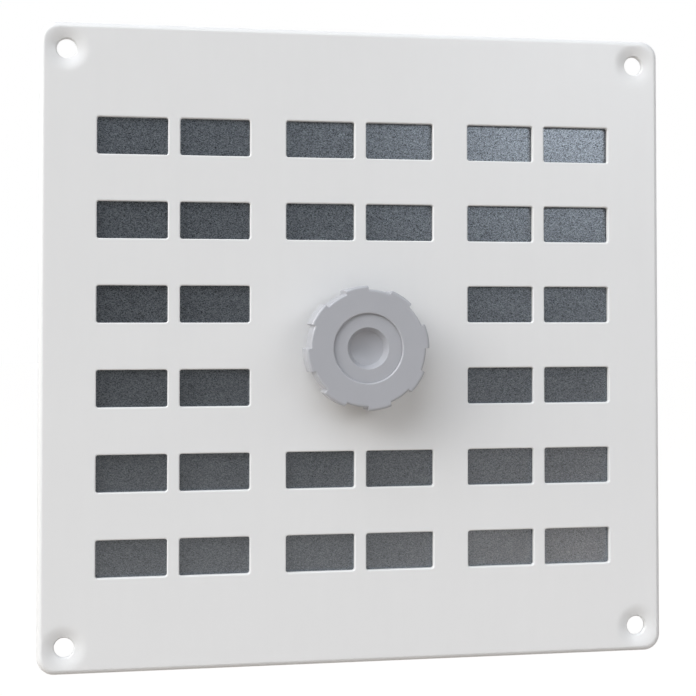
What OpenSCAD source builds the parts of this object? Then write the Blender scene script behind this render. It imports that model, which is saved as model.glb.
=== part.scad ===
// Square ventilation grille of the hit-and-miss kind: a slotted steel face, and a slotted shutter
// that slides up and down behind it and is held by a clamp knob at the centre.
// Millimetres. X points right, Y into the wall and Z up. The origin is the centre of the four
// screw holes, in the plane where the screw heads seat. The shutter is drawn closed.

/* [Face] */
// Width and height of the face
face_size = 165; // [150:1:200]
// Radius of the face's corners, in front view
corner_r = 4.4; // [4:0.1:7]
// Outer radius of the rolled edge, between the face and its folded sides
edge_r = 2.2; // [1.8:0.1:3]
// Thickness of the face's sheet
sheet_t = 1.5; // [1:0.1:1.7]
// Depth of the folded sides, from the front of the face to the wall
face_depth = 8; // [7.5:0.1:15]
// Width of the relief cut where two folded sides meet
relief_w = 2.6; // [1:0.1:4]
// Depth below the front at which the relief cut ends
relief_top = 1; // [0.8:0.1:2.2]

/* [Slots] */
// Rows of slots
rows = 6; // [4:2:8]
// Groups of slots side by side
groups = 3; // [3:2:3]
// Distance from one row to the next
row_pitch = 21.5; // [20:0.1:22]
// Distance from one group to the next
group_pitch = 48.5; // [47:0.1:49]
// Distance between the two slots of a pair
pair_pitch = 21.1; // [20.5:0.1:21.5]
// Width of a slot
slot_w = 18; // [16:0.1:18.6]
// Height of a slot
slot_h = 9.5; // [8:0.1:9.8]
// Radius of a slot's corners
slot_r = 0.6; // [0.2:0.1:2]

/* [Screw holes] */
// Distance between the screw holes, both ways
hole_spacing = 151.5; // [150:0.5:152]
// Diameter of a screw hole
hole_d = 5; // [4:0.1:5.4]
// Depth of the dimple round a hole, from the face to the seat
dimple_depth = 1.4; // [0.8:0.1:2]
// Outer radius of the dimple
dimple_r = 6.2; // [5.5:0.1:6.3]
// Radius where the dimple's soft shoulder meets its cone
cone_r = 4.1; // [3.5:0.1:4.6]
// Part of the dimple's depth that the soft shoulder takes
shoulder_share = 0.3; // [0.2:0.05:0.5]

/* [Shutter] */
// Thickness of the shutter's sheet
shutter_t = 1; // [0.7:0.1:1.2]
// Gap between the shutter and what it slides between
running_gap = 0.3; // [0.2:0.05:0.4]
// How much wider and taller than the face's slots the shutter's slots are
slot_oversize = 0.6; // [0:0.1:1]
// Width of solid shutter above the top slots and below its own lowest slots
shutter_margin = 2.9; // [2:0.1:3]
// Width of solid shutter beside the outer slots
side_margin = 3.2; // [2.5:0.1:3.2]
// Radius of the shutter's corners
shutter_r = 4; // [3.5:0.1:8]

/* [Guide rails] */
// Thickness of a rail's strip
rail_t = 1; // [0.8:0.1:1.2]
// Length of a rail
rail_length = 136; // [100:1:136]
// How far a rail's lip reaches over the edge of the shutter
rail_lip = 2.4; // [1.8:0.1:2.5]
// Width of the foot that is welded to the face
rail_foot = 6.2; // [5:0.1:6.5]
// Outer radius of a rail's bends
rail_bend_r = 1.2; // [1.2:0.05:1.3]
// Spot welds on each rail
weld_count = 4; // [2:1:6]
// Diameter of a spot weld's mark
weld_d = 3.6; // [3:0.1:4.5]

/* [Clamp stud] */
// Diameter of the stud
stud_d = 5; // [4:0.1:5]
// Height of the stud's tip in front of the face
stud_tip = 6.9; // [5.5:0.1:7]
// Diameter of the domed head
head_d = 11.6; // [10:0.1:13]
// Height of the domed head
head_h = 2.8; // [2:0.1:3]
// Side of the square neck
neck_w = 5.2; // [5.1:0.1:5.4]
// Side of the square plate under the head
plate_w = 24; // [16:1:28]
// Thickness of that plate
plate_t = 1; // [0.8:0.1:1.2]
// Distance below the centre at which the stud stands when the shutter is closed
stud_drop = 0.5; // [0:0.1:1]
// Outer diameter of the bush in the guide slot
bush_d = 7; // [6.8:0.1:7.2]
// Gap between the bush and the sides of the guide slot
bush_gap = 0.1; // [0.05:0.05:0.15]
// How far the bush stands out of the guide slot
bush_proud = 0.25; // [0.2:0.05:0.3]
// Width of the thin nut across its flats
nut_af = 8; // [8:0.1:8.5]
// Height of the thin nut
nut_h = 2.5; // [2:0.1:2.7]

/* [Knob] */
// Diameter over the knob's lobes
knob_d = 31.8; // [31:0.1:34]
// Lobes round the knob
lobes = 8; // [6:1:10]
// Depth of the finger recesses between the lobes
recess = 0.95; // [0.5:0.05:1.3]
// Height of the knob's front over the face
knob_front = 11.6; // [11.4:0.1:13]
// Height of the knob's base over the face
knob_base = 0.8; // [0.6:0.1:1]
// Height of the grip's underside over the face
grip_back = 3.1; // [2.8:0.1:4]
// Diameter of the hub under the grip
hub_d = 25; // [24:0.1:28]
// Radius of a lobe's front edge
lobe_front_r = 0.4; // [0.2:0.1:0.9]
// Radius of a recess's front edge
recess_front_r = 0.5; // [0.3:0.1:1.2]
// Radius of the back edge
back_r = 0.5; // [0.2:0.1:0.8]
// Radius of the pocket for the cap
pocket_r = 8.8; // [8:0.1:9.5]
// Radius of the pocket's rounded mouth
pocket_mouth_r = 0.3; // [0.1:0.05:0.5]
// Depth of the cap's front below the knob's front
cap_sunk = 0.7; // [0.4:0.1:1]
// Thickness of the cap's disc
cap_t = 1.5; // [1:0.1:1.8]
// Radius of the cap's dimple at its mouth
dish_mouth_r = 5.3; // [5:0.05:5.5]
// Radius of the cap's dimple at its floor
dish_floor_r = 4.2; // [4:0.05:4.8]
// Depth of the cap's dimple at the edge of its floor
dish_depth = 2.1; // [1.5:0.1:2.2]
// How much deeper the middle of the dimple's floor is
dish_sag = 0.3; // [0.1:0.05:0.4]
// Radius of the brass insert
insert_r = 4.5; // [4:0.1:5]
// Height of the brass insert
insert_h = 3.8; // [3:0.1:4]

/* [Clamp washer] */
// Outer radius of the ring
washer_r = 11.2; // [10:0.1:11.2]
// Inner radius of the ring
washer_bore_r = 6.4; // [6:0.1:8]
// Gap between the ring and the face when the knob is home
washer_gap = 0.1; // [0.05:0.05:0.2]
// Thickness of the ring
washer_t = 1.2; // [1:0.1:1.3]

/* [Hidden] */
$fn = 64;
// Overlap of two forms that are joined
eps = 0.01;

// Travel of the shutter, from closed to open
travel = row_pitch / 2;
// Depths behind the front of the face, as negative heights
shutter_front = -sheet_t - running_gap;
shutter_back = shutter_front - shutter_t;
stud_plate_back = shutter_back - plate_t;
lip_front = shutter_back - running_gap;
// Half width and half height of the field of slots
field_x = (groups - 1) / 2 * group_pitch + pair_pitch / 2 + slot_w / 2;
field_y = (rows - 1) / 2 * row_pitch + slot_h / 2;
shutter_half_w = field_x + side_margin;
shutter_top = field_y + shutter_margin;
shutter_bottom = -field_y - travel - shutter_margin;
// Radius of the guide slot's ends
slot_end_r = bush_d / 2 + bush_gap;
// Gaps round the cap and round the washer, play of the washer, and gap between two threads
cap_gap = 0.05;
washer_side_gap = 0.1;
washer_play = 0.05;
thread_gap = 0.05;
// Heights inside the knob, from the face to its front
washer_seat_h = washer_gap + washer_t + washer_play;
insert_bottom = 3.6;
insert_top = insert_bottom + insert_h;
cap_front = knob_front - cap_sunk;
cap_back = cap_front - cap_t;
// The cavity round the nut, and the cup that stands out behind the cap
hub_cavity_r = 6.2;
cup_wall = 0.45;
cup_floor = 0.85;
cup_r = dish_mouth_r + cup_wall;
cup_bottom = cap_front - dish_depth - dish_sag - cup_floor;

white_coat = "#dedede";
zinc = "#6f7174";
bright_zinc = "#a9adb0";
nylon = "#e8e6df";
knob_grey = "#a8a9ad";
brass = "#c9a65a";

// Turns a shape drawn on the face, with z as the height over it, into its place on the wall.
module on_face() {
    translate([0, -dimple_depth, 0])
        rotate([90, 0, 0])
            children();
}

// Puts a shape on the stud's axis, with the shutter closed.
module on_stud() {
    on_face()
        translate([0, -stud_drop, 0])
            children();
}

// A rectangle with round corners, centred.
module rounded(w, h, r) {
    square([w, h - 2 * r], center = true);
    square([w - 2 * r, h], center = true);
    for (x = [-1, 1], y = [-1, 1])
        translate([x * (w / 2 - r), y * (h / 2 - r)])
            circle(r);
}

// A bar with round ends, upright, from one centre to the other.
module upright_slot(y_low, y_high, r) {
    translate([-r, y_low])
        square([2 * r, y_high - y_low]);
    for (y = [y_low, y_high])
        translate([0, y])
            circle(r);
}

// What a rounding takes off a corner that stands at the origin, with its solid below and to the left.
module edge_notch(r) {
    translate([-r, -r])
        difference() {
            square(r + 1);
            circle(r);
        }
}

// A quarter of a ring, in the corner where x and y are positive.
module quarter_ring(r_out, r_in) {
    intersection() {
        difference() {
            circle(r_out);
            circle(r_in);
        }
        square(r_out + 1);
    }
}

// Is there a slot here? The two middle rows of the middle group make room for the knob.
function has_slot(row, group) =
    group != (groups - 1) / 2 || (row != rows / 2 - 1 && row != rows / 2);

// Centre of one slot of the field.
function slot_centre(row, group, side) = [
    (group - (groups - 1) / 2) * group_pitch + side * pair_pitch / 2,
    (row - (rows - 1) / 2) * row_pitch];

// The whole field of slots, each wider and taller by grow.
module slot_field(grow, thickness) {
    for (row = [0:rows - 1], group = [0:groups - 1], side = [-1, 1])
        if (has_slot(row, group))
            translate(slot_centre(row, group, side))
                linear_extrude(thickness)
                    rounded(slot_w + grow, slot_h + grow, slot_r);
}

// Section of the folded edge: face, rolled bend and side. Its outer wall lies at x = 0.
module edge_section() {
    translate([-corner_r, -sheet_t])
        square([corner_r - edge_r, sheet_t]);
    translate([-edge_r, -edge_r])
        quarter_ring(edge_r, edge_r - sheet_t);
    translate([-sheet_t, -face_depth])
        square([sheet_t, face_depth - edge_r]);
}

// The sheet folded to a shallow tray, before anything is punched in it.
module tray() {
    straight = face_size - 2 * corner_r;
    translate([-straight / 2, -straight / 2, -sheet_t])
        cube([straight, straight, sheet_t]);
    for (a = [0, 90, 180, 270])
        rotate(a) {
            translate([face_size / 2, straight / 2, 0])
                rotate([90, 0, 0])
                    linear_extrude(straight)
                        edge_section();
            translate([straight / 2, straight / 2, 0])
                rotate_extrude(angle = 90)
                    translate([corner_r, 0])
                        edge_section();
        }
}

// Cuts the folded sides free of each other at the four corners.
module corner_reliefs() {
    corner_reach = (face_size / 2 - corner_r) * sqrt(2) + corner_r;
    reach = 2 * corner_r;
    for (a = [45, 135, 225, 315])
        rotate(a)
            translate([corner_reach - edge_r, -relief_w / 2, -face_depth - 1])
                cube([reach, relief_w, face_depth + 1 - relief_top]);
}

// Height of the dimple's front at a radius: a soft shoulder, then a cone down to the hole.
function dimple_height(r) =
    r >= cone_r
    ? -shoulder_share * dimple_depth * (1 - sin(90 * (r - cone_r) / (dimple_r - cone_r)))
    : -dimple_depth * (shoulder_share + (1 - shoulder_share) * (cone_r - r) / (cone_r - hole_d / 2));

// Radii along the soft shoulder, from the dimple's mouth in to its cone.
function shoulder_radii(steps = 8) =
    [for (i = [0:steps]) dimple_r - (dimple_r - cone_r) * i / steps];

// The back of a dimple, which stands out behind the sheet.
module dimple_boss() {
    root = 0.2;
    rotate_extrude()
        polygon(concat(
            [[0, root - sheet_t], [dimple_r, root - sheet_t]],
            [for (r = shoulder_radii()) [r, dimple_height(r) - sheet_t]],
            [[hole_d / 2, -dimple_depth - sheet_t], [0, -dimple_depth - sheet_t]]));
}

// The space of a dimple, with the hole through its seat.
module dimple_space() {
    below = -dimple_depth - sheet_t - 1;
    rotate_extrude()
        polygon(concat(
            [[0, 1], [dimple_r, 1]],
            [for (r = shoulder_radii()) [r, dimple_height(r)]],
            [[hole_d / 2, -dimple_depth], [hole_d / 2, below], [0, below]]));
}

module at_screw_holes() {
    for (x = [-1, 1], y = [-1, 1])
        translate([x * hole_spacing / 2, y * hole_spacing / 2, 0])
            children();
}

module face_plate() {
    color(white_coat)
        on_face()
            difference() {
                union() {
                    tray();
                    at_screw_holes()
                        dimple_boss();
                }
                at_screw_holes()
                    dimple_space();
                corner_reliefs();
                translate([0, 0, -sheet_t - 1])
                    slot_field(0, sheet_t + 2);
                translate([0, 0, -sheet_t - 1])
                    linear_extrude(sheet_t + 2)
                        upright_slot(-stud_drop, travel - stud_drop, slot_end_r);
            }
}

module shutter_plate() {
    height = shutter_top - shutter_bottom;
    color(zinc)
        on_face()
            translate([0, 0, shutter_back])
                difference() {
                    translate([0, (shutter_top + shutter_bottom) / 2, 0])
                        linear_extrude(shutter_t)
                            rounded(2 * shutter_half_w, height, shutter_r);
                    translate([0, -travel, -1])
                        slot_field(slot_oversize, shutter_t + 2);
                    translate([-neck_w / 2, -stud_drop - neck_w / 2, -1])
                        cube([neck_w, neck_w, shutter_t + 2]);
                }
}

// Section of a rail, seen from its end: lip over the shutter, web, and foot on the back of the face.
module rail_section() {
    web_x = shutter_half_w + running_gap;
    foot_front = -sheet_t;
    lip_back = lip_front - rail_t;
    inner_r = rail_bend_r - rail_t;
    translate([web_x - rail_lip, lip_back])
        square([rail_lip + rail_t - rail_bend_r, rail_t]);
    translate([web_x + rail_t - rail_bend_r, lip_back + rail_bend_r])
        mirror([0, 1])
            quarter_ring(rail_bend_r, inner_r);
    translate([web_x, lip_back + rail_bend_r])
        square([rail_t, foot_front - lip_back - 2 * rail_bend_r]);
    translate([web_x + rail_bend_r, foot_front - rail_bend_r])
        mirror([1, 0])
            quarter_ring(rail_bend_r, inner_r);
    translate([web_x + rail_bend_r, foot_front - rail_t])
        square([rail_foot - rail_bend_r, rail_t]);
}

// A guide rail on the right of the face, with the marks of its spot welds.
module guide_rail() {
    foot_x = shutter_half_w + running_gap + (rail_foot + rail_bend_r) / 2;
    weld_pitch = rail_length / weld_count;
    mark_depth = 0.15;
    color(bright_zinc)
        on_face()
            difference() {
                translate([0, rail_length / 2, 0])
                    rotate([90, 0, 0])
                        linear_extrude(rail_length)
                            rail_section();
                for (i = [0:weld_count - 1])
                    translate([foot_x, (i + 0.5) * weld_pitch - rail_length / 2, -sheet_t - rail_t - 1])
                        cylinder(d = weld_d, h = 1 + mark_depth);
            }
}

module right_guide_rail() {
    guide_rail();
}

module left_guide_rail() {
    mirror([1, 0, 0])
        guide_rail();
}

// A domed head with a square neck, and a plain shank. The thread is too fine to cut here.
module clamp_stud() {
    dome_r = (pow(head_d / 2, 2) + pow(head_h, 2)) / (2 * head_h);
    tip_bevel = 0.5;
    color(bright_zinc)
        on_stud() {
            translate([0, 0, stud_plate_back])
                mirror([0, 0, 1])
                    rotate_extrude()
                        intersection() {
                            translate([0, head_h - dome_r])
                                circle(dome_r, $fn = 128);
                            square([head_d, head_h]);
                        }
            translate([-neck_w / 2, -neck_w / 2, stud_plate_back])
                cube([neck_w, neck_w, shutter_front - stud_plate_back]);
            translate([0, 0, shutter_front])
                cylinder(d = stud_d, h = stud_tip - tip_bevel - shutter_front);
            translate([0, 0, stud_tip - tip_bevel])
                cylinder(d1 = stud_d, d2 = stud_d - 2 * tip_bevel, h = tip_bevel);
        }
}

module stud_plate() {
    plate_corner_r = 3;
    color(bright_zinc)
        on_stud()
            translate([0, 0, stud_plate_back])
                difference() {
                    linear_extrude(plate_t)
                        rounded(plate_w, plate_w, plate_corner_r);
                    translate([-neck_w / 2, -neck_w / 2, -1])
                        cube([neck_w, neck_w, plate_t + 2]);
                }
}

module slider_bush() {
    color(nylon)
        on_stud()
            translate([0, 0, shutter_front])
                difference() {
                    cylinder(d = bush_d, h = bush_proud - shutter_front);
                    translate([0, 0, -1])
                        cylinder(d = stud_d, h = bush_proud - shutter_front + 2);
                }
}

// A thin hexagon nut, with the corners of both faces turned off.
module stud_nut() {
    corner_d = nut_af / cos(30);
    turned = 0.4;
    color(bright_zinc)
        on_stud()
            translate([0, 0, bush_proud])
                difference() {
                    intersection() {
                        cylinder(d = corner_d, h = nut_h, $fn = 6);
                        rotate_extrude()
                            polygon([
                                [0, 0],
                                [nut_af / 2, 0],
                                [corner_d / 2 + eps, turned],
                                [corner_d / 2 + eps, nut_h - turned],
                                [nut_af / 2, nut_h],
                                [0, nut_h]]);
                    }
                    translate([0, 0, -1])
                        cylinder(d = stud_d, h = nut_h + 2);
                }
}

module clamp_washer() {
    color(nylon)
        on_stud()
            translate([0, 0, washer_gap])
                difference() {
                    cylinder(r = washer_r, h = washer_t);
                    translate([0, 0, -1])
                        cylinder(r = washer_bore_r, h = washer_t + 2);
                }
}

// Half section of the grip out to a radius, with its front and back edges rounded.
module grip_section(r, front_r) {
    difference() {
        translate([0, grip_back])
            square([r, knob_front - grip_back]);
        translate([r, knob_front])
            edge_notch(front_r);
        translate([r, grip_back])
            mirror([0, 1])
                edge_notch(back_r);
    }
}

// The lobes fill every other stretch round the grip, and their sides stand along its radii.
module lobe_wedges() {
    reach = knob_d;
    span = 180 / lobes;
    for (i = [0:lobes - 1])
        rotate(i * 360 / lobes)
            polygon([[0, 0], [reach, 0], [reach * cos(span), reach * sin(span)]]);
}

module knob_grip() {
    color(knob_grey)
        on_stud()
            difference() {
                union() {
                    rotate_extrude()
                        grip_section(knob_d / 2 - recess, recess_front_r);
                    intersection() {
                        rotate_extrude()
                            grip_section(knob_d / 2, lobe_front_r);
                        linear_extrude(knob_front + 1)
                            lobe_wedges();
                    }
                    translate([0, 0, knob_base])
                        cylinder(d = hub_d, h = grip_back - knob_base + eps);
                }
                translate([0, 0, knob_base - 1])
                    cylinder(r = washer_r + washer_side_gap, h = washer_seat_h - knob_base + 1);
                translate([0, 0, knob_base - 1])
                    cylinder(r = hub_cavity_r, h = insert_bottom - knob_base + 1);
                translate([0, 0, insert_bottom - 1])
                    cylinder(r = insert_r, h = insert_h + 1 + eps);
                translate([0, 0, insert_top])
                    cylinder(r = cup_r + cap_gap, h = knob_front);
                translate([0, 0, cap_back])
                    cylinder(r = pocket_r, h = knob_front);
                rotate_extrude()
                    translate([pocket_r, knob_front])
                        mirror([1, 0])
                            edge_notch(pocket_mouth_r);
            }
}

// A threaded brass bush, with a groove round it that keys it in the plastic.
module knob_insert() {
    groove_depth = 0.6;
    groove_h = 1;
    color(brass)
        on_stud()
            translate([0, 0, insert_bottom])
                difference() {
                    cylinder(r = insert_r, h = insert_h);
                    translate([0, 0, -1])
                        cylinder(d = stud_d + 2 * thread_gap, h = insert_h + 2);
                    translate([0, 0, (insert_h - groove_h) / 2])
                        difference() {
                            cylinder(r = insert_r + 1, h = groove_h);
                            cylinder(r = insert_r - groove_depth, h = groove_h);
                        }
                }
}

// A cap with a dimple that has a cone for a wall and a shallow bowl for a floor.
module knob_cap() {
    cap_r = pocket_r - cap_gap;
    edge_bevel = 0.1;
    floor_height = cap_front - dish_depth;
    bowl_r = (pow(dish_floor_r, 2) + pow(dish_sag, 2)) / (2 * dish_sag);
    color(knob_grey)
        on_stud()
            difference() {
                union() {
                    translate([0, 0, cap_back])
                        cylinder(r = cap_r, h = cap_t - edge_bevel);
                    translate([0, 0, cap_front - edge_bevel])
                        cylinder(r1 = cap_r, r2 = cap_r - edge_bevel, h = edge_bevel);
                    translate([0, 0, cup_bottom])
                        cylinder(r = cup_r, h = cap_back - cup_bottom + eps);
                }
                rotate_extrude()
                    polygon([
                        [0, floor_height],
                        [dish_floor_r, floor_height],
                        [dish_mouth_r, cap_front],
                        [dish_mouth_r, cap_front + 1],
                        [0, cap_front + 1]]);
                translate([0, 0, floor_height])
                    rotate_extrude()
                        intersection() {
                            translate([0, bowl_r - dish_sag])
                                circle(bowl_r, $fn = 256);
                            translate([0, -2 * dish_sag])
                                square([dish_floor_r, 2 * dish_sag + eps]);
                        }
            }
}

face_plate();
left_guide_rail();
right_guide_rail();
shutter_plate();
clamp_stud();
stud_plate();
slider_bush();
stud_nut();
clamp_washer();
knob_grip();
knob_insert();
knob_cap();
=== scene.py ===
"""Finishes a closable ventilation grille: a pressed steel face with slots, a sliding shutter behind
it, and a lobed clamp knob. Laid out as an add-on, and run as a script."""

import math

import bmesh
import bpy
from bpy.props import FloatProperty, FloatVectorProperty, IntProperty, PointerProperty
from mathutils import Matrix, Vector


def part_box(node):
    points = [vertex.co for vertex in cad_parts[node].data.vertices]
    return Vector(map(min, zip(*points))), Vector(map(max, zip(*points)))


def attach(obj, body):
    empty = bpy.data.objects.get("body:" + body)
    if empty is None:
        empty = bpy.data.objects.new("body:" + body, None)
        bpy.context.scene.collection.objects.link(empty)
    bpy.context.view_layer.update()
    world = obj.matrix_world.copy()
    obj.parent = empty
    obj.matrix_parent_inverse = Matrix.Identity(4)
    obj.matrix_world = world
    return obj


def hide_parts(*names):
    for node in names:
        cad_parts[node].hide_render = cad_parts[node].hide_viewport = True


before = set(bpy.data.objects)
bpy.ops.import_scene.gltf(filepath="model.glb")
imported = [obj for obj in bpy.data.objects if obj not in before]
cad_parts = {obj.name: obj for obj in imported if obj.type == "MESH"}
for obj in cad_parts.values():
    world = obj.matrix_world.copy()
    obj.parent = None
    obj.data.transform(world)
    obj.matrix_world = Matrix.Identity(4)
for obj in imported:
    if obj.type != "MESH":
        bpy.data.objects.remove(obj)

bl_info = {
    "name": "Closable ventilation grille",
    "version": (1, 0, 0),
    "blender": (4, 5, 0),
    "location": "View3D > Sidebar > Grille",
    "description": "Finishes the face, shutter, rails, clamp and knob of a closable ventilation grille",
    "category": "Add Mesh",
}

MM = 0.001
FACE_LOW, FACE_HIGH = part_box("face_plate")
SHUTTER_LOW, SHUTTER_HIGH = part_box("shutter_plate")
GRIP_LOW, GRIP_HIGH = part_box("knob_grip")
STUD_LOW, STUD_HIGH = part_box("clamp_stud")
CAP_LOW, CAP_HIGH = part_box("knob_cap")
INSERT_LOW, INSERT_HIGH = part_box("knob_insert")
WASHER_LOW, WASHER_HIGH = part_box("clamp_washer")
# Heights are measured in front of the face, towards the room.
FACE_FRONT = FACE_LOW.y
KNOB_AXIS_Z = (CAP_LOW.z + CAP_HIGH.z) / 2


def length(name, description, default):
    """A length in millimetres that a user may change."""
    return FloatProperty(name=name, description=description, default=default * MM, unit="LENGTH", precision=5)


def colour(name, description, default):
    """A colour that a user may change, in linear light."""
    return FloatVectorProperty(
        name=name, description=description, default=default, subtype="COLOR", min=0, max=1
    )


class SheetSizes(bpy.types.PropertyGroup):
    """Sizes of the face, and of the shutter behind it."""

    rows: IntProperty(name="Rows", description="Rows of slots", default=6, min=4, max=8)
    groups: IntProperty(name="Groups", description="Groups of slots side by side", default=3, min=3, max=5)
    row_pitch: length("Row pitch", "Distance from one row to the next", 21.5)
    group_pitch: length("Group pitch", "Distance from one group to the next", 48.5)
    pair_pitch: length("Pair pitch", "Distance between the two slots of a pair", 21.1)
    slot_w: length("Slot width", "Width of a slot in the face", 18.0)
    slot_h: length("Slot height", "Height of a slot in the face", 9.5)
    slot_r: length("Slot corner", "Radius of a slot's corners", 0.6)
    oversize: length("Oversize", "How much larger the shutter's slots are", 0.6)
    sheet_t: length("Face sheet", "Thickness of the face's sheet", 1.5)
    corner_r: length("Corner radius", "Radius of the face's corners", 4.4)
    edge_r: length("Edge radius", "Outer radius of the rolled edge", 2.2)
    front_r: length("Front edge", "Radius of the coated front of the rolled edge", 1.7)
    slot_round: length("Slot edge", "Depth of the coated edge's rounding at a slot", 0.3)
    slot_roll: length("Slot roll", "Width of the coated edge's rounding at a slot", 0.38)
    burr_round: length("Back edge", "Rounding of the edges at the back of a sheet", 0.12)
    hole_spacing: length("Hole spacing", "Distance between the screw holes", 151.5)
    hole_d: length("Hole", "Diameter of a screw hole", 5.0)
    dimple_depth: length("Dimple depth", "Depth from the face to the seat of a screw", 1.4)
    dimple_r: length("Dimple radius", "Outer radius of the soft shoulder", 6.2)
    cone_r: length("Cone radius", "Radius where the shoulder meets the cone", 2.8)
    shoulder: FloatProperty(name="Shoulder", description="Share of the depth in the shoulder", default=0.52)
    relief_w: length("Relief width", "Width of the cut between two folded sides", 2.6)
    relief_top: length("Relief top", "Depth below the front at which the cut ends", 1.0)
    guide_w: length("Guide slot", "Width of the slot that guides the stud", 7.2)
    shutter_corner: length("Shutter corner", "Radius of the shutter's corners", 4.0)


class KnobSizes(bpy.types.PropertyGroup):
    """Sizes of the clamp knob and its stud."""

    lobes: IntProperty(name="Lobes", description="Lobes round the grip", default=8, min=6, max=10)
    recess: length("Recess", "Depth of the finger recesses", 0.95)
    lobe_round: length("Lobe edge", "Rounding of a lobe's front edge", 0.7)
    recess_round: length("Recess edge", "Rounding of a recess's front edge", 0.6)
    back_round: length("Back edge", "Rounding of the grip's back edge", 0.5)
    grip_back: length("Grip back", "Height of the grip's underside over the face", 3.1)
    hub_d: length("Hub", "Diameter of the hub under the grip", 25)
    pocket_r: length("Pocket", "Radius of the pocket for the cap", 8.8)
    pocket_round: length("Pocket edge", "Rounding of the pocket's mouth", 0.4)
    cap_t: length("Cap", "Thickness of the cap's disc", 1.5)
    dish_mouth_r: length("Dish mouth", "Radius of the cap's dimple at its mouth", 5.3)
    dish_floor_r: length("Dish floor", "Radius of the cap's dimple at its floor", 4.35)
    dish_depth: length("Dish depth", "Depth of the cap's dimple", 2.1)
    dish_sag: length("Dish sag", "How much deeper the middle of the dimple is", 0.6)
    thread_pitch: length("Thread pitch", "Pitch of the stud's thread", 0.8)
    thread_depth: length("Thread depth", "Depth of the stud's thread", 0.45)


class Finishes(bpy.types.PropertyGroup):
    """Colours of the finishes."""

    coat: colour("Powder coat", "White powder coat of the face", (0.765, 0.765, 0.762))
    sheet: colour("Zinc sheet", "Rolled zinc surface of the shutter", (0.282, 0.308, 0.338))
    plated: colour("Zinc plate", "Plated surface of rails and hardware", (0.60, 0.61, 0.63))
    plastic: colour("Grey plastic", "Moulded plastic of the knob", (0.402, 0.407, 0.433))
    nylon: colour("Nylon", "Natural nylon of the bush and washer", (0.78, 0.76, 0.70))
    brass: colour("Brass", "Turned brass of the insert", (0.72, 0.53, 0.24))


class StageSettings(bpy.types.PropertyGroup):
    """Light, floor and camera."""

    key: FloatProperty(name="Key light", description="Brightness of the window on the left", default=5.1)
    side: FloatProperty(name="Side light", description="Brightness of the screen on the right", default=1.7)
    high: FloatProperty(name="High panel", description="Brightness of the panel over the camera", default=4.1)
    low: FloatProperty(name="Low panel", description="Brightness of the table in front", default=7.2)
    sky: FloatProperty(name="Sky", description="Brightness of the room up on the left", default=3.1)
    room: FloatProperty(name="Room", description="Brightness of the room in front of the grille", default=0.1)
    dark: FloatProperty(name="Camera side", description="Brightness of the room round the camera", default=0.02)
    back: FloatProperty(name="Backdrop", description="Brightness of the backdrop's light", default=0.12)
    focal: FloatProperty(name="Focal length", description="Lens of the camera", default=72.4, subtype="DISTANCE_CAMERA")
    floor_drop: length("Floor", "Height of the grille's centre over the floor", 200)
    floor_reach: length("Floor reach", "How far the floor comes forward of the grille", 980)
    floor_colour: colour("Floor colour", "Pale floor", (0.52, 0.48, 0.44))


class Socket:
    """A node's output that can stand in a Python expression, in a shader or a geometry tree."""

    def __init__(self, tree, socket=None):
        self.tree = tree
        self.socket = socket

    def node(self, kind, settings=None, values=None, output=0):
        """Adds a node, sets its settings, then the values or links of its sockets."""
        made = self.tree.nodes.new(kind)
        for key, value in (settings or {}).items():
            if key == "stops":
                set_ramp(made.color_ramp, value)
            else:
                setattr(made, key, value)
        for key, value in (values or {}).items():
            for one in value if isinstance(value, list) else [value]:
                if isinstance(one, Socket):
                    self.tree.links.new(one.socket, made.inputs[key])
                else:
                    made.inputs[key].default_value = one
        outputs = [s for s in made.outputs if s.enabled]
        if not outputs:
            return None
        return Socket(self.tree, made.outputs[output] if isinstance(output, str) else outputs[output])

    def math(self, operation, *values, clamp=False):
        """The result of a Math node."""
        settings = {"operation": operation, "use_clamp": clamp}
        return self.node("ShaderNodeMath", settings, dict(enumerate(values)))

    def __add__(self, other):
        return self.math("ADD", self, other)

    def __radd__(self, other):
        return self.math("ADD", other, self)

    def __sub__(self, other):
        return self.math("SUBTRACT", self, other)

    def __rsub__(self, other):
        return self.math("SUBTRACT", other, self)

    def __mul__(self, other):
        return self.math("MULTIPLY", self, other)

    def __rmul__(self, other):
        return self.math("MULTIPLY", other, self)

    def __truediv__(self, other):
        return self.math("DIVIDE", self, other)

    def __mod__(self, other):
        return self.math("FLOORED_MODULO", self, other)

    def __lt__(self, other):
        return self.math("LESS_THAN", self, other)

    def __gt__(self, other):
        return self.math("GREATER_THAN", self, other)

    def floor(self):
        return self.math("FLOOR", self)

    def absolute(self):
        return self.math("ABSOLUTE", self)

    def step(self, low, high):
        """Zero below low, one above high, and smooth between them."""
        values = {"Value": self, "From Min": low, "From Max": high}
        return self.node("ShaderNodeMapRange", {"interpolation_type": "SMOOTHSTEP"}, values)


def set_ramp(ramp, stops):
    """Gives a colour ramp its stops, each a place and a grey level."""
    while len(ramp.elements) < len(stops):
        ramp.elements.new(1)
    for element, (place, level) in zip(ramp.elements, stops):
        element.position = place
        element.color = (level, level, level, 1)


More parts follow.
